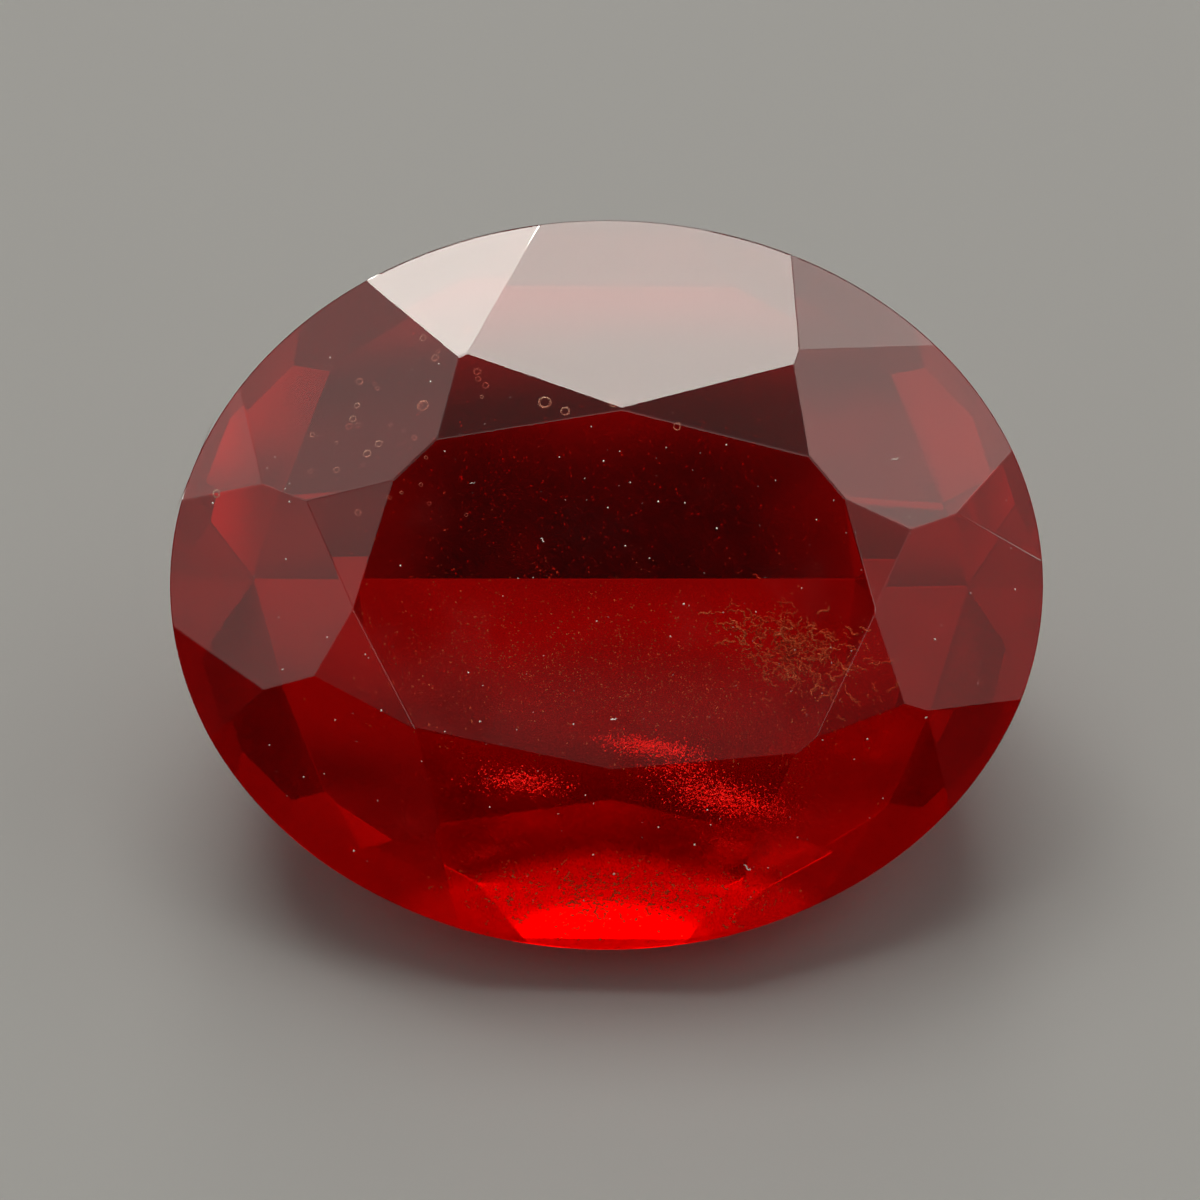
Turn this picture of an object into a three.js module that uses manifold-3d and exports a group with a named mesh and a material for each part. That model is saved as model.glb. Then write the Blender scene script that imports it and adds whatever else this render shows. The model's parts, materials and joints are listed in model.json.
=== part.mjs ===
// A loose faceted gemstone: an oval mixed cut, with a brilliant crown over a step-cut pavilion that
// ends in a keel. It is cut by hand, so each crown facet sits a little off its ideal place.
// The stone is ground as a real one is: an oval preform loses one flat slice for each facet.
// It then lies on the long pavilion facet in front of the keel, with its table leaning forwards.
// Millimetres and degrees. +Z is up, +X runs along the stone's length, and the table faces -Y.
import * as THREE from "three";
import { mergeVertices } from "three/addons/utils/BufferGeometryUtils.js";
import Module from "manifold-3d";

// Driving dimensions of the stone, in its own frame: its axis is Z, and Z = 0 is mid-girdle.
const LENGTH = 9.0;
const WIDTH = 7.52;
const CROWN_HEIGHT = 1.15;
const GIRDLE_THICKNESS = 0.24;
const GIRDLE_SEGMENTS = 144;

// Crown. An azimuth runs counter-clockwise from +X, seen from above the table, and a reach is the
// distance from the axis at which a facet crosses the table's plane.
const STAR_SLOPE = 20;
const STARS = [
  { azimuth: 15.5, reach: 2.59 },
  { azimuth: 76, reach: 1.82 },
  { azimuth: 99, reach: 1.79 },
  { azimuth: 162.5, reach: 2.41 },
  { azimuth: 207.5, reach: 2.39 },
  { azimuth: 258, reach: 1.8 },
  { azimuth: 275, reach: 1.85 },
  { azimuth: 334.5, reach: 2.58 },
];
const MAINS = [
  { azimuth: -4, reach: 2.75 },
  { azimuth: 40, reach: 2.46 },
  { azimuth: 87.5, reach: 1.85 },
  { azimuth: 133.5, reach: 2.31 },
  { azimuth: 180.5, reach: 2.59 },
  { azimuth: 224, reach: 2.4 },
  { azimuth: 267, reach: 1.98 },
  { azimuth: 310, reach: 2.54 },
];
const BREAKS = [
  { azimuth: 12, slope: 38.5 },
  { azimuth: 52, slope: 39 },
  { azimuth: 106, slope: 37.5 },
  { azimuth: 150, slope: 38.5 },
  { azimuth: 194, slope: 36.5 },
  { azimuth: 241, slope: 40 },
  { azimuth: 299, slope: 40.5 },
  { azimuth: 323.5, slope: 41 },
];

// Pavilion. Three rows of steps close in from the girdle's oval to the keel, and the run is the
// share of the way from girdle to keel that a row covers. The slopes hold at the stone's long sides.
const KEEL_LENGTH = 5.2;
const PAVILION_ROWS = [
  { facets: 24, run: 0.08, sideSlope: 58 },
  { facets: 24, run: 0.24, sideSlope: 49 },
  { facets: 8, run: 0.68, sideSlope: 41 },
];
const REST_SLOPE = PAVILION_ROWS.at(-1).sideSlope;

const SPINEL_RED = 0x7a0508;

const wasm = await Module();
wasm.setup();

const radians = THREE.MathUtils.degToRad;
const crownBase = GIRDLE_THICKNESS / 2;
const tableLevel = crownBase + CROWN_HEIGHT;

// How far the girdle's oval and the keel reach from the axis in one direction.
function girdleReach(azimuth) {
  const angle = radians(azimuth);
  return Math.hypot((LENGTH / 2) * Math.cos(angle), (WIDTH / 2) * Math.sin(angle));
}
function keelReach(azimuth) {
  return (KEEL_LENGTH / 2) * Math.abs(Math.cos(radians(azimuth)));
}

// A closed three.js geometry as a solid that can be cut.
function solidOf(geometry) {
  const bare = geometry.clone();
  bare.deleteAttribute("normal");
  bare.deleteAttribute("uv");
  const merged = mergeVertices(bare);
  return new wasm.Manifold(
    new wasm.Mesh({
      numProp: 3,
      vertProperties: new Float32Array(merged.attributes.position.array),
      triVerts: new Uint32Array(merged.index.array),
    }),
  );
}

// The oval prism that the stone is ground from, tall enough to hold it.
function preform() {
  const below = WIDTH;
  const oval = new THREE.Shape().absellipse(0, 0, LENGTH / 2, WIDTH / 2, 0, 2 * Math.PI);
  const prism = new THREE.ExtrudeGeometry(oval, {
    depth: below + 2 * tableLevel,
    bevelEnabled: false,
    curveSegments: GIRDLE_SEGMENTS,
  });
  return solidOf(prism.translate(0, 0, -below));
}

// Grinds one flat facet. It falls away outwards at the slope, on the crown side or on the pavilion
// side, and passes the point at that reach and level.
function grind(stone, { azimuth, slope, reach, level, side }) {
  const size = 4 * LENGTH;
  const angle = radians(azimuth);
  const tilt = radians(slope);
  const outward = new THREE.Vector3(
    Math.cos(angle) * Math.sin(tilt),
    Math.sin(angle) * Math.sin(tilt),
    side * Math.cos(tilt),
  );
  const lap = new THREE.BoxGeometry(size, size, size);
  lap.translate(0, 0, size / 2);
  lap.applyQuaternion(new THREE.Quaternion().setFromUnitVectors(new THREE.Vector3(0, 0, 1), outward));
  lap.translate(reach * Math.cos(angle), reach * Math.sin(angle), level);
  return stone.subtract(solidOf(lap));
}

// Table, stars, mains that land on the girdle's upper edge, and the breaks between them.
function crownFacets() {
  const table = { azimuth: 0, slope: 0, reach: 0 };
  const stars = STARS.map((star) => ({ ...star, slope: STAR_SLOPE }));
  const mains = MAINS.map(({ azimuth, reach }) => {
    const run = girdleReach(azimuth) - reach;
    return { azimuth, reach, slope: THREE.MathUtils.radToDeg(Math.atan2(CROWN_HEIGHT, run)) };
  });
  const breaks = BREAKS.map((facet) => ({ ...facet, reach: girdleReach(facet.azimuth), level: crownBase }));
  return [table, ...stars, ...mains, ...breaks].map((facet) => ({ level: tableLevel, side: 1, ...facet }));
}

// Steps whose junctions lie level all round, from the girdle's lower edge to the keel.
function pavilionFacets() {
  const facets = [];
  let level = -crownBase;
  let done = 0;
  for (const { facets: count, run, sideSlope } of PAVILION_ROWS) {
    const drop = run * (WIDTH / 2) * Math.tan(radians(sideSlope));
    for (let i = 0; i < count; i++) {
      const azimuth = (360 / count) * i;
      const whole = girdleReach(azimuth) - keelReach(azimuth);
      facets.push({
        azimuth,
        slope: THREE.MathUtils.radToDeg(Math.atan2(drop, run * whole)),
        reach: girdleReach(azimuth) - done * whole,
        level,
        side: -1,
      });
    }
    level -= drop;
    done += run;
  }
  return { facets, keelLevel: level };
}

// The finished solid as a three.js geometry.
function geometryOf(solid) {
  const { vertProperties, triVerts } = solid.getMesh();
  const geometry = new THREE.BufferGeometry();
  geometry.setAttribute("position", new THREE.BufferAttribute(vertProperties, 3));
  geometry.setIndex(new THREE.BufferAttribute(triVerts, 1));
  const flat = geometry.toNonIndexed();
  flat.computeVertexNormals();
  return flat;
}

const { facets: pavilion, keelLevel } = pavilionFacets();
const cut = [...crownFacets(), ...pavilion].reduce(grind, preform());

const gemstone = new THREE.Mesh(
  geometryOf(cut),
  new THREE.MeshStandardMaterial({ color: SPINEL_RED, roughness: 0.03, metalness: 0 }),
);
gemstone.name = "gemstone";

// The stone leans forwards until the long facet in front of the keel is flat on the ground, and its
// bounding box is centred over the origin.
const leaning = new THREE.Group();
leaning.add(gemstone);
leaning.rotation.x = radians(REST_SLOPE);
leaning.position.z = -keelLevel * Math.cos(radians(REST_SLOPE));

const part = new THREE.Group();
part.add(leaning);
const middle = new THREE.Box3().setFromObject(part, true).getCenter(new THREE.Vector3());
leaning.position.x = -middle.x;
leaning.position.y = -middle.y;

export default part;
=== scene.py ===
"""Dresses the oval spinel: the clear red stone, what is sealed in it and the dust on it."""

import json
import logging
import math
import random
from dataclasses import dataclass, field
from enum import Enum

import bpy
from mathutils import Matrix, Vector


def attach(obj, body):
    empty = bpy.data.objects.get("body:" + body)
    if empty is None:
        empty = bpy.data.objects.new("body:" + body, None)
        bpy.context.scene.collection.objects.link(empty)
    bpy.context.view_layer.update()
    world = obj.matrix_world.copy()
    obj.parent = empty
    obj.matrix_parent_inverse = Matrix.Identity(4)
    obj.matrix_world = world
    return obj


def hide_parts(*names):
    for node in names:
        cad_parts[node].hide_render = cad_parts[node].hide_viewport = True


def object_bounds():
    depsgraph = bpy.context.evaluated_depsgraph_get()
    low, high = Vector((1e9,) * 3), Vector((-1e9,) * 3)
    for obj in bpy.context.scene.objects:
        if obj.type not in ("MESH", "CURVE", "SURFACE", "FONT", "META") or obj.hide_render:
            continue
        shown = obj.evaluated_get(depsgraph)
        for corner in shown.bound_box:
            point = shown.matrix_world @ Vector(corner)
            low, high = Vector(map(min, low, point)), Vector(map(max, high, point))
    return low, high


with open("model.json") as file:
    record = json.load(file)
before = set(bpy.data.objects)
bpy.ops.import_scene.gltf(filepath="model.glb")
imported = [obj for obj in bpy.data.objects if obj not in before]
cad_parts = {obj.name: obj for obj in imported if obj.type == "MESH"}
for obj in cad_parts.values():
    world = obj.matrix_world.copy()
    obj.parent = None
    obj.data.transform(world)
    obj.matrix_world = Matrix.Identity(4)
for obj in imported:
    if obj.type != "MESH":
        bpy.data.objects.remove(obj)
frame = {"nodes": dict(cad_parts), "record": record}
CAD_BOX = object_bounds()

LOG = logging.getLogger("spinel")
MM = 0.001
BODY = "root"
STONE_NODE = "gemstone"
DULLNESS = "dullness"
MOTTLE = "mottle"
GIRDLE_LEAN = 0.02
CROWN_LEAN = 0.1
WARM_WHITE = (1.0, 0.975, 0.9)


def select_only(piece: bpy.types.Object) -> None:
    """Makes one object the active one, and the only one selected.

    Args:
        piece: The object to work on.
    """
    bpy.ops.object.select_all(action="DESELECT")
    piece.select_set(True)
    bpy.context.view_layer.objects.active = piece


def mount_axis(name: str) -> Vector:
    """Reads the outward direction of one of the record's flat faces.

    Args:
        name: The mount's name.

    Returns:
        The face's unit normal, in the frame of the part.
    """
    mounts = {mount["name"]: mount for mount in frame["record"]["mounts"]}
    return Vector(mounts[name]["axis"]).normalized()


def on_girdle(face: bpy.types.MeshPolygon, axis: Vector) -> bool:
    """Tells whether a face stands square to the table, whose unit normal is the axis."""
    return abs(face.normal.dot(axis)) < GIRDLE_LEAN


def stone_tilt() -> float:
    """Gives the angle by which the table leans forwards from level, in radians."""
    return math.acos(mount_axis("table").z)


@dataclass(frozen=True)
class Facet:
    """The plane of one facet, in the stone's own axes and in millimetres."""

    normal: Vector
    reach: float

    def height(self, along: float, up: float) -> float:
        """Gives the plane's height over one point of the girdle's plane."""
        return (self.reach - self.normal.x * along - self.normal.y * up) / self.normal.z


@dataclass
class StoneFrame:
    """The stone's own axes: x along its length, y up its table and z out of its table."""

    smallest_face: float = 0.001 * MM**2
    axes: Matrix = field(init=False)
    centre: Vector = field(init=False)
    facets: list[Facet] = field(init=False)

    def __post_init__(self) -> None:
        """Finds the axes and the facets from the solid."""
        mesh = frame["nodes"][STONE_NODE].data
        out = mount_axis("table")
        along = Vector((1.0, 0.0, 0.0))
        self.axes = Matrix((along, out.cross(along), out))
        girdle = [face for face in mesh.polygons if on_girdle(face, out)]
        rim = [self.axes @ mesh.vertices[index].co for face in girdle for index in face.vertices]
        self.centre = Vector([(min(side) + max(side)) / 2 for side in zip(*rim)])
        planes = {}
        for face in mesh.polygons:
            if face.area < self.smallest_face:
                continue
            normal = self.axes @ face.normal
            reach = normal.dot(self.axes @ face.center - self.centre) / MM
            planes[tuple(round(part, 3) for part in normal)] = Facet(normal, reach)
        self.facets = list(planes.values())

    def holds(self, along: float, up: float, height: float, margin: float) -> bool:
        """Tells whether a point lies inside the stone, at least the margin from its surface."""
        point = Vector((along, up, height))
        return all(facet.normal.dot(point) < facet.reach - margin for facet in self.facets)

    def crown_height(self, along: float, up: float) -> float:
        """Gives the crown's height over one point of the girdle's plane."""
        return min(facet.height(along, up) for facet in self.facets if facet.normal.z > CROWN_LEAN)

    def point(self, along: float, up: float, height: float) -> Vector:
        """Gives a point of the stone's axes in the part's frame, in metres."""
        return self.axes.transposed() @ (self.centre + Vector((along, up, height)) * MM)


@dataclass(frozen=True)
class Step:
    """A step of a value in a node tree, from one level to another, between two readings."""

    start: float
    stop: float
    before: float
    after: float
    soft: bool = True

    def add(self, tree: bpy.types.NodeTree, reading: bpy.types.NodeSocket) -> bpy.types.NodeSocket:
        """Adds the step to a node tree.

        Args:
            tree: The tree to add to.
            reading: The value that the step follows.

        Returns:
            The stepped value.
        """
        node = tree.nodes.new("ShaderNodeMapRange")
        node.interpolation_type = "SMOOTHSTEP" if self.soft else "LINEAR"
        node.inputs["From Min"].default_value = self.start
        node.inputs["From Max"].default_value = self.stop
        node.inputs["To Min"].default_value = self.before
        node.inputs["To Max"].default_value = self.after
        tree.links.new(reading, node.inputs["Value"])
        return node.outputs["Result"]


def combined(
    tree: bpy.types.NodeTree, operation: str, one: bpy.types.NodeSocket, other: bpy.types.NodeSocket
) -> bpy.types.NodeSocket:
    """Adds a node that combines two values.

    Args:
        tree: The tree to add to.
        operation: The kind of sum, by the node's own word for it.
        one: The first value.
        other: The second value.

    Returns:
        The combined value.
    """
    node = tree.nodes.new("ShaderNodeMath")
    node.operation = operation
    tree.links.new(one, node.inputs[0])
    tree.links.new(other, node.inputs[1])
    return node.outputs["Value"]


def mottle_group() -> bpy.types.NodeTree:
    """Builds the mottle that all the finishes share, once.

    Returns:
        The node group, which turns a fineness and a detail into a cloudy mask by position.
    """
    if MOTTLE in bpy.data.node_groups:
        return bpy.data.node_groups[MOTTLE]
    tree = bpy.data.node_groups.new(MOTTLE, "ShaderNodeTree")
    tree.interface.new_socket("Per Metre", in_out="INPUT", socket_type="NodeSocketFloat")
    tree.interface.new_socket("Detail", in_out="INPUT", socket_type="NodeSocketFloat")
    tree.interface.new_socket("Mask", in_out="OUTPUT", socket_type="NodeSocketFloat")
    given = tree.nodes.new("NodeGroupInput")
    result = tree.nodes.new("NodeGroupOutput")
    place = tree.nodes.new("ShaderNodeTexCoord")
    noise = tree.nodes.new("ShaderNodeTexNoise")
    tree.links.new(place.outputs["Object"], noise.inputs["Vector"])
    tree.links.new(given.outputs["Per Metre"], noise.inputs["Scale"])
    tree.links.new(given.outputs["Detail"], noise.inputs["Detail"])
    tree.links.new(noise.outputs["Fac"], result.inputs["Mask"])
    return tree


def mottled(tree: bpy.types.NodeTree, per_metre: float, detail: float) -> bpy.types.NodeSocket:
    """Places the mottle in a material.

    Args:
        tree: The material's node tree.
        per_metre: How fine the mottle is.
        detail: How much finer mottle it has in it.

    Returns:
        The mask.
    """
    group = tree.nodes.new("ShaderNodeGroup")
    group.node_tree = mottle_group()
    group.inputs["Per Metre"].default_value = per_metre
    group.inputs["Detail"].default_value = detail
    return group.outputs["Mask"]


@dataclass(frozen=True)
class SpinelFinish:
    """Clear red spinel: polished facets, a frosted girdle and a deep red body colour.

    The pavilion is dullest in a ring around one clear spot near the stone's front edge.
    """

    refraction: float = 1.718
    body_colour: tuple[float, float, float] = (0.972, 0.02, 0.0)
    depth_of_colour: float = 2600.0
    polish: Step = Step(0.0, 1.0, 0.02, 0.6, soft=False)
    clear_spot: tuple[float, float, float] = (0.0, -2.3 * MM, 0.17 * MM)
    ring_inside: Step = Step(0.65 * MM, 1.30 * MM, 0.8, 2.2)
    ring_outside: Step = Step(1.6 * MM, 2.2 * MM, 2.2, 1.0)
    smudges_per_metre: float = 1100.0
    smudge_detail: float = 6.0
    smudge_haze: Step = Step(0.5, 0.75, 0.0, 0.08, soft=False)

    def material(self) -> bpy.types.Material:
        """Builds the material.

        Returns:
            The stone's one material, clear with plain absorption.
        """
        made = bpy.data.materials.new("clear_red_spinel")
        made.use_nodes = True
        tree = made.node_tree
        shader = tree.nodes["Principled BSDF"]
        shader.inputs["Base Color"].default_value = (1.0, 1.0, 1.0, 1.0)
        shader.inputs["IOR"].default_value = self.refraction
        shader.inputs["Transmission Weight"].default_value = 1.0
        shader.inputs["Metallic"].default_value = 0.0
        tree.links.new(self._roughness(tree), shader.inputs["Roughness"])
        absorption = tree.nodes.new("ShaderNodeVolumeAbsorption")
        absorption.inputs["Color"].default_value = (*self.body_colour, 1.0)
        absorption.inputs["Density"].default_value = self.depth_of_colour
        tree.links.new(absorption.outputs["Volume"], tree.nodes["Material Output"].inputs["Volume"])
        return made

    def _roughness(self, tree: bpy.types.NodeTree) -> bpy.types.NodeSocket:
        """Joins the dullness of the faces, the ring and the smudges.

        Args:
            tree: The material's node tree.

        Returns:
            The roughness.
        """
        dullness = tree.nodes.new("ShaderNodeAttribute")
        dullness.attribute_name = DULLNESS
        place = tree.nodes.new("ShaderNodeTexCoord")
        away = tree.nodes.new("ShaderNodeVectorMath")
        away.operation = "DISTANCE"
        away.inputs[1].default_value = self.clear_spot
        tree.links.new(place.outputs["Object"], away.inputs[0])
        inside = self.ring_inside.add(tree, away.outputs["Value"])
        outside = self.ring_outside.add(tree, away.outputs["Value"])
        ring = combined(tree, "MINIMUM", inside, outside)
        ringed = combined(tree, "MULTIPLY", dullness.outputs["Fac"], ring)
        smudges = mottled(tree, self.smudges_per_metre, self.smudge_detail)
        return combined(tree, "ADD", self.polish.add(tree, ringed), self.smudge_haze.add(tree, smudges))


@dataclass(frozen=True)
class GrainFinish:
    """A finish for small things in and on the stone, whose colour varies from grain to grain."""

    name: str
    pale: tuple[float, float, float]
    deep: tuple[float, float, float]
    roughness: float
    metallic: float = 0.0
    mottles_per_metre: float = 4000.0
    mottle_detail: float = 2.0
    deep_to_pale: tuple[float, float] = (0.35, 0.65)

    def material(self) -> bpy.types.Material:
        """Builds the material.

        Returns:
            The material, with its colour mottled by position.
        """
        made = bpy.data.materials.new(self.name)
        made.use_nodes = True
        tree = made.node_tree
        shader = tree.nodes["Principled BSDF"]
        shader.inputs["Roughness"].default_value = self.roughness
        shader.inputs["Metallic"].default_value = self.metallic
        colour = tree.nodes.new("ShaderNodeValToRGB")
        stops = zip(colour.color_ramp.elements, self.deep_to_pale, (self.deep, self.pale))
        for stop, position, shade in stops:
            stop.position = position
            stop.color = (*shade, 1.0)
        tree.links.new(mottled(tree, self.mottles_per_metre, self.mottle_detail), colour.inputs["Fac"])
        tree.links.new(colour.outputs["Color"], shader.inputs["Base Color"])
        return made


PALE_CRYSTAL = GrainFinish("pale_crystal", (0.95, 0.72, 0.5), (0.9, 0.5, 0.3), 0.4)
ORANGE_CRYSTAL = GrainFinish("orange_crystal", (1.0, 0.55, 0.2), (0.95, 0.36, 0.1), 0.4)
# Pale metal for the mirror flakes that make the painted reflection patches in the stone's front.
PAINTED_REFLECTION_FLAKE = GrainFinish("painted_reflection_flake", (0.95, 0.8, 0.7), (0.9, 0.6, 0.45), 0.35, metallic=1.0)
WHITE_DUST = GrainFinish("white_dust", (0.9, 0.88, 0.84), (0.6, 0.56, 0.52), 0.9)


@dataclass
class Gemstone:
    """The cut stone, with its facet edges rounded a little by wear. Sizes in millimetres."""

    merge_distance: float = 0.004
    flat_within: float = math.radians(0.25)
    edge_wear: float = 0.012
    sharp_from: float = math.radians(3.0)
    steps_down_to: float = -1.8
    girdle_dullness: float = 1.0
    steps_dullness: float = 0.45
    keel_dullness: float = 0.26
    piece: bpy.types.Object = field(init=False)

    def build(self) -> bpy.types.Object:
        """Makes the polished stone from a copy of the solid.

        Returns:
            The finished piece.
        """
        mesh = frame["nodes"][STONE_NODE].data.copy()
        mesh.materials.clear()
        self.piece = bpy.data.objects.new("polished_stone", mesh)
        bpy.context.scene.collection.objects.link(self.piece)
        select_only(self.piece)
        self._scale(1.0 / MM)
        bpy.ops.mesh.customdata_custom_splitnormals_clear()
        bpy.ops.object.mode_set(mode="EDIT")
        bpy.ops.mesh.select_all(action="SELECT")
        bpy.ops.mesh.remove_doubles(threshold=self.merge_distance)
        bpy.ops.mesh.dissolve_limited(angle_limit=self.flat_within)
        bpy.ops.mesh.select_mode(type="EDGE")
        bpy.ops.object.mode_set(mode="OBJECT")
        self._wear_edges()
        bpy.ops.object.shade_flat()
        self._mark_dullness()
        self._scale(MM)
        return self.piece

    def _scale(self, factor: float) -> None:
        """Scales the piece's mesh about the origin."""
        self.piece.scale = (factor, factor, factor)
        bpy.ops.object.transform_apply(location=False, rotation=False, scale=True)

    def _wear_edges(self) -> None:
        """Rounds the edges between the facets."""
        bpy.ops.object.mode_set(mode="EDIT")
        bpy.ops.mesh.select_all(action="DESELECT")
        bpy.ops.mesh.edges_select_sharp(sharpness=self.sharp_from)
        bpy.ops.mesh.bevel(offset=self.edge_wear, segments=2, profile=0.5, affect="EDGES")
        bpy.ops.object.mode_set(mode="OBJECT")

    def _mark_dullness(self) -> None:
        """Marks how dull each face is: the crown is polished best, and the girdle is only ground."""
        axis = mount_axis("table")
        mesh = self.piece.data
        mask = mesh.attributes.new(DULLNESS, "FLOAT", "FACE")
        girdle = self._girdle_height(axis)
        for face in mesh.polygons:
            if on_girdle(face, axis):
                mask.data[face.index].value = self.girdle_dullness
            elif face.normal.dot(axis) < 0.0:
                deep = face.center.dot(axis) - girdle < self.steps_down_to
                mask.data[face.index].value = self.keel_dullness if deep else self.steps_dullness

    def _girdle_height(self, axis: Vector) -> float:
        """Finds the girdle's middle along the stone's axis.

        Args:
            axis: The unit normal of the table.

        Returns:
            The mean height of the faces that stand square to the table.
        """
        heights = [face.center.dot(axis) for face in self.piece.data.polygons if on_girdle(face, axis)]
        return sum(heights) / len(heights)

    def dress(self, finish: SpinelFinish) -> None:
        """Gives the stone its finish and its place in the part.

        Args:
            finish: The stone's finish.
        """
        self.piece.data.materials.append(finish.material())
        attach(self.piece, BODY)
        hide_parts(STONE_NODE)


class Shape(Enum):
    """The small shapes that are sealed in the stone or lie on it, each about one unit in radius."""

    GRAIN = "grain"
    RIM = "rim"
    WORM = "worm"
    FLAKE = "flake"

    def model(self) -> bpy.types.Object:
        """Models the shape once.

        Returns:
            The object to copy.
        """
        if self is Shape.RIM:
            bpy.ops.mesh.primitive_torus_add(
                major_radius=1.0, minor_radius=0.2, major_segments=14, minor_segments=4
            )
            return self._roughened(0.08)
        if self is Shape.WORM:
            return self._worm()
        if self is Shape.FLAKE:
            bpy.ops.mesh.primitive_circle_add(vertices=7, radius=1.0, fill_type="NGON")
            return bpy.context.object
        bpy.ops.mesh.primitive_ico_sphere_add(subdivisions=1, radius=1.0)
        return self._roughened(0.25)

    def _roughened(self, offset: float) -> bpy.types.Object:
        """Makes the active object's outline uneven.

        Args:
            offset: How far a point may move.

        Returns:
            The active object.
        """
        bpy.ops.object.mode_set(mode="EDIT")
        bpy.ops.mesh.select_all(action="SELECT")
        bpy.ops.transform.vertex_random(offset=offset, uniform=0.6, seed=7)
        bpy.ops.object.mode_set(mode="OBJECT")
        return bpy.context.object

    def _worm(self) -> bpy.types.Object:
        """Models a short thread with a hook and a counter-bend.

        Returns:
            The thread.
        """
        bpy.ops.curve.primitive_bezier_curve_add()
        path = bpy.context.object.data
        start, end = path.splines[0].bezier_points
        start.co = (-1.0, -0.2, 0.0)
        start.handle_right = (-0.4, 1.1, 0.2)
        end.co = (1.0, 0.2, 0.0)
        end.handle_left = (0.3, -1.2, -0.2)
        path.resolution_u = 7
        path.bevel_depth = 0.18
        path.bevel_resolution = 0
        path.use_fill_caps = True
        bpy.ops.object.convert(target="MESH")
        return bpy.context.object


@dataclass(frozen=True)
class Place:
    """Where one small shape sits: its point in metres, its turn in radians and its size in metres."""

    point: Vector
    turn: tuple[float, float, float]
    size: float


def point_mesh(name: str, places: list[Place]) -> bpy.types.Object:
    """Makes a mesh of bare points, each with the size and the turn of the copy that goes there.

    Args:
        name: The new object's name.
        places: Where the copies go.

    Returns:
        The object that holds the points.
    """
    points = bpy.data.meshes.new(name)
    points.from_pydata([place.point for place in places], [], [])
    sizes = points.attributes.new("size", "FLOAT", "POINT")
    sizes.data.foreach_set("value", [place.size for place in places])
    turns = points.attributes.new("turn", "FLOAT_VECTOR", "POINT")
    turns.data.foreach_set("vector", [angle for place in places for angle in place.turn])
    piece = bpy.data.objects.new(name, points)
    bpy.context.scene.collection.objects.link(piece)
    return piece


def copying_tree(name: str, model: bpy.types.Object) -> bpy.types.NodeTree:
    """Builds the geometry nodes that set a copy of one object at each point.

    Args:
        name: The tree's name.
        model: The object to copy.

    Returns:
        The node tree.
    """
    tree = bpy.data.node_groups.new(name, "GeometryNodeTree")
    tree.interface.new_socket("Geometry", in_out="INPUT", socket_type="NodeSocketGeometry")
    tree.interface.new_socket("Geometry", in_out="OUTPUT", socket_type="NodeSocketGeometry")
    source = tree.nodes.new("NodeGroupInput")
    result = tree.nodes.new("NodeGroupOutput")
    copies = tree.nodes.new("GeometryNodeInstanceOnPoints")
    original = tree.nodes.new("GeometryNodeObjectInfo")
    original.inputs["Object"].default_value = model
    for attribute, kind, socket in (("size", "FLOAT", "Scale"), ("turn", "FLOAT_VECTOR", "Rotation")):
        reader = tree.nodes.new("GeometryNodeInputNamedAttribute")
        reader.data_type = kind
        reader.inputs["Name"].default_value = attribute
        tree.links.new(reader.outputs["Attribute"], copies.inputs[socket])
    realize = tree.nodes.new("GeometryNodeRealizeInstances")
    tree.links.new(source.outputs["Geometry"], copies.inputs["Points"])
    tree.links.new(original.outputs["Geometry"], copies.inputs["Instance"])
    tree.links.new(copies.outputs["Instances"], realize.inputs["Geometry"])
    tree.links.new(realize.outputs["Geometry"], result.inputs["Geometry"])
    return tree


def scatter(name: str, shape: Shape, places: list[Place]) -> bpy.types.Object:
    """Sets copies of one small shape at many places, as one mesh.

    Args:
        name: The new object's name.
        shape: The shape to copy.
        places: Where the copies go.

    Returns:
        The object that holds all the copies.
    """
    model = shape.model()
    piece = point_mesh(name, places)
    piece.modifiers.new("copies", "NODES").node_group = copying_tree(name, model)
    select_only(piece)
    bpy.ops.object.modifier_apply(modifier="copies")
    bpy.data.objects.remove(model)
    return piece


def joined(name: str, parts: list[bpy.types.Object]) -> bpy.types.Object:
    """Joins objects into one piece.

    Args:
        name: The piece's name.
        parts: The objects to join.

    Returns:
        The piece.
    """
    select_only(parts[0])
    for part in parts:
        part.select_set(True)
    bpy.ops.object.join()
    parts[0].name = name
    return parts[0]


def lying(lean: float, spin: float) -> tuple[float, float, float]:
    """Gives the turn of a shape that is spun on a plane, which then leans forwards, in radians."""
    return tuple((Matrix.Rotation(lean, 3, "X") @ Matrix.Rotation(spin, 3, "Z")).to_euler())


def drawn_size(sizes: tuple[float, float], bias: int, chance: random.Random) -> float:
    """Draws a size between the smallest and the largest; a higher bias gives more small ones."""
    return sizes[0] + (sizes[1] - sizes[0]) * chance.random() ** bias


@dataclass
class SmallThings:
    """Small things in or on the stone, as one piece with one finish."""

    piece: bpy.types.Object = field(init=False)

    def dress(self, finish: GrainFinish) -> None:
        """Gives the piece its finish and its place in the part.

        Args:
            finish: The finish of all the small things.
        """
        self.piece.data.materials.clear()
        self.piece.data.materials.append(finish.material())
        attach(self.piece, BODY)


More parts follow.
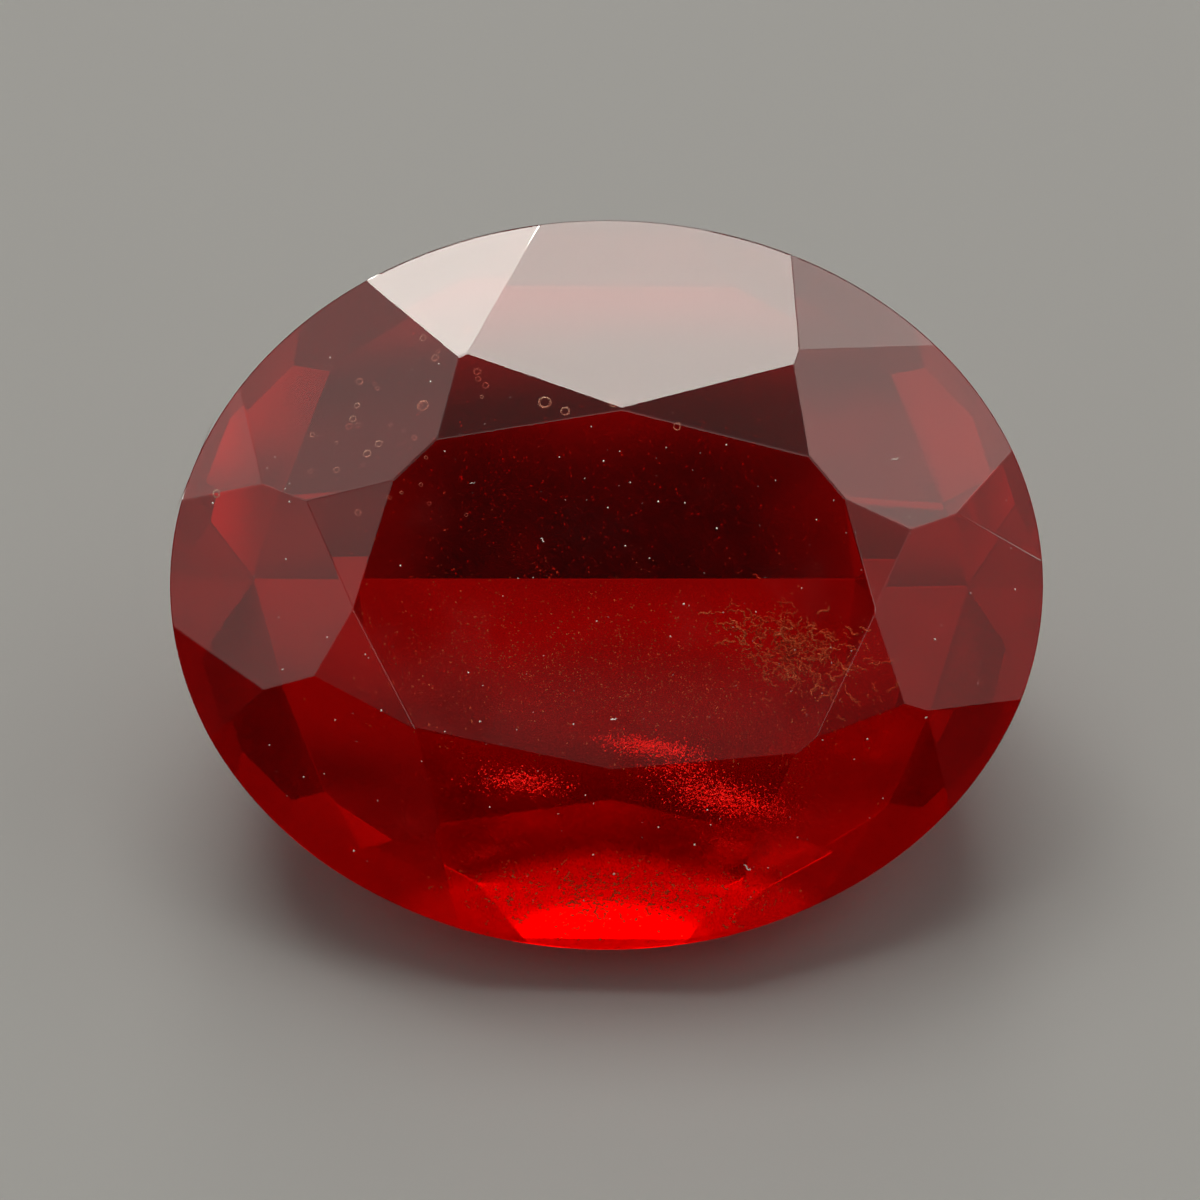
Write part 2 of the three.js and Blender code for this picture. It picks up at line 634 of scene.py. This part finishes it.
@dataclass(frozen=True)
class Cloud:
    """A patch of small shapes under the crown.

    The middle, the spread, the depth under the crown and the size are in millimetres, the slant is in
    degrees, the lean and the wobble are in radians, and the margin to the surface is in sizes.
    """

    shape: Shape
    count: int
    middle: tuple[float, float]
    spread: tuple[float, float]
    slant: float
    depth: tuple[float, float]
    size: tuple[float, float]
    lean_back: float = 0.0
    wobble: float = 0.6
    margin: float = 1.5
    small_bias: int = 2

    def places(self, stone: StoneFrame, chance: random.Random) -> list[Place]:
        """Draws the places of the shapes.

        Args:
            stone: The stone's axes and facets.
            chance: The seeded source of chance.

        Returns:
            The places inside the stone, denser in the middle of the patch.
        """
        found = []
        slant = math.radians(self.slant)
        for _ in range(self.count):
            one = chance.gauss(0.0, self.spread[0])
            other = chance.gauss(0.0, self.spread[1])
            along = self.middle[0] + one * math.cos(slant) - other * math.sin(slant)
            up = self.middle[1] + one * math.sin(slant) + other * math.cos(slant)
            size = drawn_size(self.size, self.small_bias, chance)
            height = stone.crown_height(along, up) - chance.uniform(*self.depth)
            lean = stone_tilt() - self.lean_back + chance.uniform(-self.wobble, self.wobble)
            turn = lying(lean, chance.uniform(0.0, math.tau))
            if stone.holds(along, up, height, self.margin * size):
                found.append(Place(stone.point(along, up, height), turn, size * MM))
        return found


@dataclass(frozen=True)
class Bubble:
    """One bubble: its place along and up the stone, its depth and its radius, in millimetres."""

    along: float
    up: float
    depth: float
    radius: float


@dataclass
class Bubbles(SmallThings):
    """Round bubbles under the crown, most of them in its upper left."""

    seed: int = 41
    wobble: float = 0.3
    bubbles: tuple[Bubble, ...] = (
        Bubble(-1.87, 2.55, 0.06, 0.030),
        Bubble(-1.74, 2.34, 0.10, 0.035),
        Bubble(-2.55, 1.86, 0.05, 0.028),
        Bubble(-2.59, 1.72, 0.06, 0.034),
        Bubble(-2.32, 1.47, 0.07, 0.036),
        Bubble(-2.44, 1.37, 0.06, 0.038),
        Bubble(-1.86, 1.85, 0.12, 0.055),
        Bubble(-0.63, 1.90, 0.06, 0.060),
        Bubble(-0.42, 1.81, 0.06, 0.042),
        Bubble(0.07, 1.89, 0.05, 0.034),
        Bubble(0.72, 1.66, 0.06, 0.034),
        Bubble(-4.0, 0.95, 0.05, 0.036),
    )
    cloud: Cloud = Cloud(Shape.RIM, 34, (-2.1, 1.8), (0.45, 0.5), 0.0, (0.05, 0.3), (0.016, 0.034))

    def build(self, stone: StoneFrame) -> bpy.types.Object:
        """Makes the bubbles as one piece.

        Args:
            stone: The stone's axes and facets.

        Returns:
            The finished piece.
        """
        chance = random.Random(self.seed)
        places = self.cloud.places(stone, chance)
        for bubble in self.bubbles:
            lean = stone_tilt() + chance.uniform(-self.wobble, self.wobble)
            turn = lying(lean, chance.uniform(0.0, math.tau))
            height = stone.crown_height(bubble.along, bubble.up) - bubble.depth
            point = stone.point(bubble.along, bubble.up, height)
            places.append(Place(point, turn, bubble.radius * MM))
        self.piece = scatter("bubbles", Shape.RIM, places)
        return self.piece


@dataclass
class Inclusions(SmallThings):
    """Fine grains in drifts and bands, and short threads in two patches."""

    seed: int = 23
    clouds: tuple[Cloud, ...] = (
        Cloud(Shape.GRAIN, 420, (-0.9, 1.0), (0.9, 0.5), 0.0, (0.5, 1.4), (0.005, 0.012)),
        Cloud(Shape.GRAIN, 260, (0.6, 0.9), (1.0, 0.5), 0.0, (0.5, 1.4), (0.005, 0.012)),
        Cloud(Shape.GRAIN, 320, (0.6, -0.8), (1.2, 0.10), -38.0, (0.15, 0.6), (0.006, 0.015)),
        Cloud(Shape.GRAIN, 260, (-0.8, -0.9), (1.0, 0.12), -40.0, (0.15, 0.7), (0.006, 0.014)),
        Cloud(Shape.GRAIN, 240, (-1.8, -0.8), (0.5, 0.5), 0.0, (0.1, 0.7), (0.006, 0.016)),
        Cloud(Shape.GRAIN, 260, (1.7, -0.7), (0.7, 0.5), -30.0, (0.1, 0.5), (0.006, 0.014)),
        Cloud(Shape.GRAIN, 1800, (0.1, -0.85), (1.25, 0.42), -6.0, (0.05, 0.25), (0.005, 0.010)),
        Cloud(Shape.WORM, 330, (1.95, -0.62), (0.34, 0.20), -25.0, (0.15, 0.35), (0.040, 0.075)),
        Cloud(Shape.GRAIN, 760, (0.05, -3.12), (0.8, 0.20), 0.0, (0.03, 0.25), (0.006, 0.017)),
        Cloud(Shape.WORM, 140, (0.0, -3.15), (0.8, 0.18), 0.0, (0.03, 0.22), (0.025, 0.050)),
        Cloud(Shape.GRAIN, 200, (0.0, 0.0), (2.4, 2.0), 0.0, (0.1, 1.0), (0.005, 0.013)),
    )

    def build(self, stone: StoneFrame) -> bpy.types.Object:
        """Makes the inclusions as one piece.

        Args:
            stone: The stone's axes and facets.

        Returns:
            The finished piece.
        """
        chance = random.Random(self.seed)
        found: dict[Shape, list[Place]] = {Shape.GRAIN: [], Shape.WORM: []}
        for cloud in self.clouds:
            found[cloud.shape] += cloud.places(stone, chance)
        parts = [scatter(f"inclusion_{shape.value}", shape, places) for shape, places in found.items()]
        self.piece = joined("inclusions", parts)
        return self.piece


@dataclass(frozen=True)
class Patch:
    """One patch of flakes: its middle, spread and depth in millimetres, and its slant in degrees."""

    count: int
    middle: tuple[float, float]
    spread: tuple[float, float]
    slant: float
    depth: float


@dataclass
class PaintedReflectionFlakes(SmallThings):
    """Patches of tiny mirror flakes in the stone's front, put in as painted reflection patches: all
    leaning one way so that they mirror the light.
    """

    seed: int = 8
    patches: tuple[Patch, ...] = (
        Patch(800, (-0.85, -1.89), (0.24, 0.07), -4.0, 0.75),
        Patch(2200, (1.20, -2.06), (0.32, 0.10), -16.0, 0.75),
        Patch(1200, (0.46, -1.64), (0.26, 0.05), -8.0, 0.85),
        Patch(500, (-1.28, -2.64), (0.20, 0.05), 15.0, 0.45),
        Patch(500, (1.35, -2.56), (0.20, 0.05), -15.0, 0.45),
        Patch(400, (-1.95, -2.38), (0.10, 0.08), 0.0, 0.40),
        Patch(800, (2.05, -2.32), (0.22, 0.09), 30.0, 0.40),
    )
    half_thickness: float = 0.08
    size: tuple[float, float] = (0.003, 0.008)
    # The lean is set so that the flakes mirror the lights as painted reflection patches.
    lean_back: float = math.radians(12.6)
    wobble: float = 0.05

    def build(self, stone: StoneFrame) -> bpy.types.Object:
        """Makes the flakes as one piece.

        Args:
            stone: The stone's axes and facets.

        Returns:
            The finished piece.
        """
        chance = random.Random(self.seed)
        places = []
        for patch in self.patches:
            depth = (patch.depth - self.half_thickness, patch.depth + self.half_thickness)
            cloud = Cloud(
                Shape.FLAKE, patch.count, patch.middle, patch.spread, patch.slant, depth,
                self.size, self.lean_back, self.wobble,
            )
            places += cloud.places(stone, chance)
        self.piece = scatter("healed_crack", Shape.FLAKE, places)
        return self.piece


@dataclass
class Dust(SmallThings):
    """White specks and a few fibres on the crown. Millimetres."""

    seed: int = 12
    specks: int = 230
    fibres: int = 5
    speck_size: tuple[float, float] = (0.004, 0.013)
    fibre_size: tuple[float, float] = (0.02, 0.05)
    small_bias: int = 3
    lift: float = 0.2
    drawn_within: tuple[float, float] = (4.4, 3.6)
    oval: tuple[float, float] = (4.3, 3.55)

    def build(self, stone: StoneFrame) -> bpy.types.Object:
        """Lays the dust on the crown.

        Args:
            stone: The stone's axes and facets.

        Returns:
            The finished piece.
        """
        chance = random.Random(self.seed)
        specks = self._places(stone, chance, self.specks, self.speck_size)
        fibres = self._places(stone, chance, self.fibres, self.fibre_size)
        parts = [scatter("dust_specks", Shape.GRAIN, specks), scatter("dust_fibres", Shape.WORM, fibres)]
        self.piece = joined("dust", parts)
        return self.piece

    def _places(
        self, stone: StoneFrame, chance: random.Random, count: int, sizes: tuple[float, float]
    ) -> list[Place]:
        """Draws places on the crown.

        Args:
            stone: The stone's axes and facets.
            chance: The seeded source of chance.
            count: How many places to draw.
            sizes: The smallest and the largest size.

        Returns:
            The places, on the surface and inside the girdle's oval.
        """
        found = []
        while len(found) < count:
            along, up = (chance.uniform(-half, half) for half in self.drawn_within)
            if (along / self.oval[0]) ** 2 + (up / self.oval[1]) ** 2 > 1.0:
                continue
            size = drawn_size(sizes, self.small_bias, chance)
            turn = lying(stone_tilt(), chance.uniform(0.0, math.tau))
            height = stone.crown_height(along, up) + self.lift * size
            found.append(Place(stone.point(along, up, height), turn, size * MM))
        return found


@dataclass(frozen=True)
class SoftBox:
    """A rectangular studio light that points at the stone. Angles in degrees and sizes in metres."""

    name: str
    towards: tuple[float, float, float]
    half_width: float
    half_height: float
    radiance: float
    distance: float = 0.5

    def build(self) -> None:
        """Adds the light."""
        direction = Vector(self.towards).normalized()
        width = 2 * self.distance * math.tan(math.radians(self.half_width))
        height = 2 * self.distance * math.tan(math.radians(self.half_height))
        bpy.ops.object.light_add(type="AREA", location=direction * self.distance)
        lamp = bpy.context.object
        lamp.name = self.name
        lamp.data.shape = "RECTANGLE"
        lamp.data.size = width
        lamp.data.size_y = height
        lamp.data.energy = self.radiance * math.pi * width * height
        lamp.data.color = WARM_WHITE
        lamp.rotation_euler = direction.to_track_quat("Z", "Y").to_euler()


@dataclass(frozen=True)
class Room:
    """The room's soft grey light, with a dark part in front of the stone for the table to mirror.

    Each step follows one part of a unit direction: side to side (squared, so that left and right are
    alike), back, or up. The light is open where any of the first steps opens it, and is then shaded.
    """

    light: float = 0.43
    open_beside: Step = Step(0.13**2, 0.30**2, 0.03, 1.0)
    beside_up_to: Step = Step(0.60, 0.68, 1.0, 0.03)
    open_wide: Step = Step(0.36**2, 0.50**2, 0.03, 1.0)
    open_above: Step = Step(0.76, 0.84, 0.03, 1.0)
    open_behind: Step = Step(-0.3, -0.1, 0.03, 1.0)
    veil_foot: Step = Step(0.68, 0.70, 0.03, 0.30)
    veil_top: Step = Step(0.7238, 0.7295, 0.30, 0.03)
    shade_horizon: Step = Step(0.04, 0.34, 0.05, 1.0)
    shade_front_low: Step = Step(0.34, 0.46, 0.2, 1.0)
    shade_front_to: Step = Step(-0.65, -0.45, 0.2, 1.0)
    shade_back: Step = Step(0.35, 0.65, 1.0, 0.45)
    shade_overhead: Step = Step(0.95, 0.99, 1.0, 0.35)
    patches_scale: float = 5.0
    patches_detail: float = 2.0
    patchiness: Step = Step(0.35, 0.65, 0.55, 1.45)

    def build(self) -> None:
        """Makes the world that lights the scene."""
        world = bpy.data.worlds.new("room")
        bpy.context.scene.world = world
        world.use_nodes = True
        tree = world.node_tree
        direction = tree.nodes.new("ShaderNodeTexCoord")
        parts = tree.nodes.new("ShaderNodeSeparateXYZ")
        tree.links.new(direction.outputs["Generated"], parts.inputs["Vector"])
        side, back, up = (parts.outputs[name] for name in "XYZ")
        strength = self._opening(tree, combined(tree, "MULTIPLY", side, side), back, up)
        front_low = self.shade_front_low.add(tree, up)
        for shade in (
            self.shade_horizon.add(tree, up),
            combined(tree, "MAXIMUM", front_low, self.shade_front_to.add(tree, back)),
            self.shade_back.add(tree, back),
            self.shade_overhead.add(tree, up),
            self._patches(tree, direction.outputs["Generated"]),
        ):
            strength = combined(tree, "MULTIPLY", strength, shade)
        background = tree.nodes["Background"]
        background.inputs["Color"].default_value = (*(self.light * part for part in WARM_WHITE), 1.0)
        tree.links.new(strength, background.inputs["Strength"])

    def _opening(
        self,
        tree: bpy.types.NodeTree,
        across: bpy.types.NodeSocket,
        back: bpy.types.NodeSocket,
        up: bpy.types.NodeSocket,
    ) -> bpy.types.NodeSocket:
        """Joins the steps that open the room's light.

        Args:
            tree: The world's node tree.
            across: The square of the direction's part to the side.
            back: The direction's part to the back.
            up: The direction's part upwards.

        Returns:
            How open the light is.
        """
        beside_low = self.beside_up_to.add(tree, up)
        opening = combined(tree, "MULTIPLY", self.open_beside.add(tree, across), beside_low)
        for other in (
            self.open_wide.add(tree, across),
            self.open_above.add(tree, up),
            self.open_behind.add(tree, back),
            combined(tree, "MINIMUM", self.veil_foot.add(tree, up), self.veil_top.add(tree, up)),
        ):
            opening = combined(tree, "MAXIMUM", opening, other)
        return opening

    def _patches(self, tree: bpy.types.NodeTree, direction: bpy.types.NodeSocket) -> bpy.types.NodeSocket:
        """Makes the light a little patchy.

        Args:
            tree: The world's node tree.
            direction: The direction that is looked in.

        Returns:
            The patches, as a factor of the light.
        """
        noise = tree.nodes.new("ShaderNodeTexNoise")
        noise.inputs["Scale"].default_value = self.patches_scale
        noise.inputs["Detail"].default_value = self.patches_detail
        tree.links.new(direction, noise.inputs["Vector"])
        return self.patchiness.add(tree, noise.outputs["Fac"])


@dataclass
class Studio:
    """The pale floor, the lights and the camera. The stone's box in the photograph is in pixels."""

    elevation: float = math.radians(51.0)
    distance: float = 0.13
    nearest: float = 0.01
    farthest: float = 20.0
    photo_side: float = 1200.0
    stone_left: float = 170.0
    stone_right: float = 1043.0
    stone_top: float = 220.0
    stone_bottom: float = 950.0
    floor_side: float = 4.0
    floor_grey: float = 0.24
    floor_roughness: float = 0.8
    air_gap: float = 0.03 * MM
    bounces: int = 12
    room: Room = Room()
    boxes: tuple[SoftBox, ...] = (
        SoftBox("back_softbox", (-0.08, 0.40, 0.91), 20.0, 17.0, 5.6),
        SoftBox("back_window", (-0.30, 0.52, 0.80), 8.5, 8.5, 3.2),
        SoftBox("low_back_softbox", (0.0, 0.84, 0.54), 7.0, 13.0, 4.5),
        SoftBox("right_softbox", (0.68, 0.25, 0.69), 17.0, 17.0, 0.9),
        SoftBox("right_window", (0.62, 0.45, 0.64), 8.0, 8.0, 1.3),
        SoftBox("left_softbox", (-0.72, 0.18, 0.65), 19.0, 19.0, 0.5),
    )

    def build(self, stone: bpy.types.Object) -> None:
        """Sets up everything around the stone.

        Args:
            stone: The stone that the camera frames.
        """
        self._floor()
        for box in self.boxes:
            box.build()
        self.room.build()
        self._camera(stone)
        scene = bpy.context.scene
        scene.view_settings.view_transform = "Standard"
        scene.cycles.denoising_input_passes = "RGB"
        scene.cycles.use_light_tree = False
        scene.cycles.max_bounces = self.bounces
        scene.cycles.transmission_bounces = self.bounces
        scene.cycles.glossy_bounces = self.bounces

    def _floor(self) -> None:
        """Lays the pale floor."""
        bpy.ops.mesh.primitive_plane_add(size=self.floor_side, location=(0.0, 0.0, -self.air_gap))
        floor = bpy.context.object
        floor.name = "floor"
        made = bpy.data.materials.new("pale_floor")
        made.use_nodes = True
        shader = made.node_tree.nodes["Principled BSDF"]
        shader.inputs["Base Color"].default_value = (*([self.floor_grey] * 3), 1.0)
        shader.inputs["Roughness"].default_value = self.floor_roughness
        floor.data.materials.append(made)
        floor.visible_glossy = False

    def _camera(self, stone: bpy.types.Object) -> None:
        """Places the camera so that the stone fills the same part of the frame as in the photograph.

        Args:
            stone: The stone that the camera frames.
        """
        right = Vector((1.0, 0.0, 0.0))
        up = Vector((0.0, math.sin(self.elevation), math.cos(self.elevation)))
        back = right.cross(up)
        low, high = (Vector(corner) for corner in CAD_BOX)
        eye = (low + high) / 2 + back * self.distance
        seen = [vertex.co - eye for vertex in stone.data.vertices]
        across = [ray.dot(right) / -ray.dot(back) for ray in seen]
        along = [ray.dot(up) / -ray.dot(back) for ray in seen]
        pixel = (max(across) - min(across)) / (self.stone_right - self.stone_left)
        half = self.photo_side / 2
        bpy.ops.object.camera_add()
        camera = bpy.context.object
        camera.name = "photo_camera"
        camera.matrix_world = Matrix.Translation(eye) @ Matrix((right, up, back)).transposed().to_4x4()
        camera.data.angle = 2 * math.atan(pixel * half)
        centre_x = half + (max(across) + min(across)) / 2 / pixel
        centre_y = half - (max(along) + min(along)) / 2 / pixel
        camera.data.shift_x = (centre_x - (self.stone_left + self.stone_right) / 2) / self.photo_side
        camera.data.shift_y = ((self.stone_top + self.stone_bottom) / 2 - centre_y) / self.photo_side
        camera.data.clip_start = self.nearest
        camera.data.clip_end = self.farthest
        bpy.context.scene.camera = camera


def main() -> None:
    """Builds the pieces and the studio in order."""
    logging.basicConfig(level=logging.INFO)
    axes = StoneFrame()
    gemstone = Gemstone()
    stone = gemstone.build()
    gemstone.dress(SpinelFinish())
    LOG.info("%s: %d faces", stone.name, len(stone.data.polygons))
    for things, finish in (
        (Bubbles(), PALE_CRYSTAL),
        (Inclusions(), ORANGE_CRYSTAL),
        # Mirror flakes that stand in as painted reflection patches in the stone's front.
        (PaintedReflectionFlakes(), PAINTED_REFLECTION_FLAKE),
        (Dust(), WHITE_DUST),
    ):
        piece = things.build(axes)
        things.dress(finish)
        LOG.info("%s: %d faces", piece.name, len(piece.data.polygons))
    Studio().build(stone)


if __name__ == "__main__":
    main()
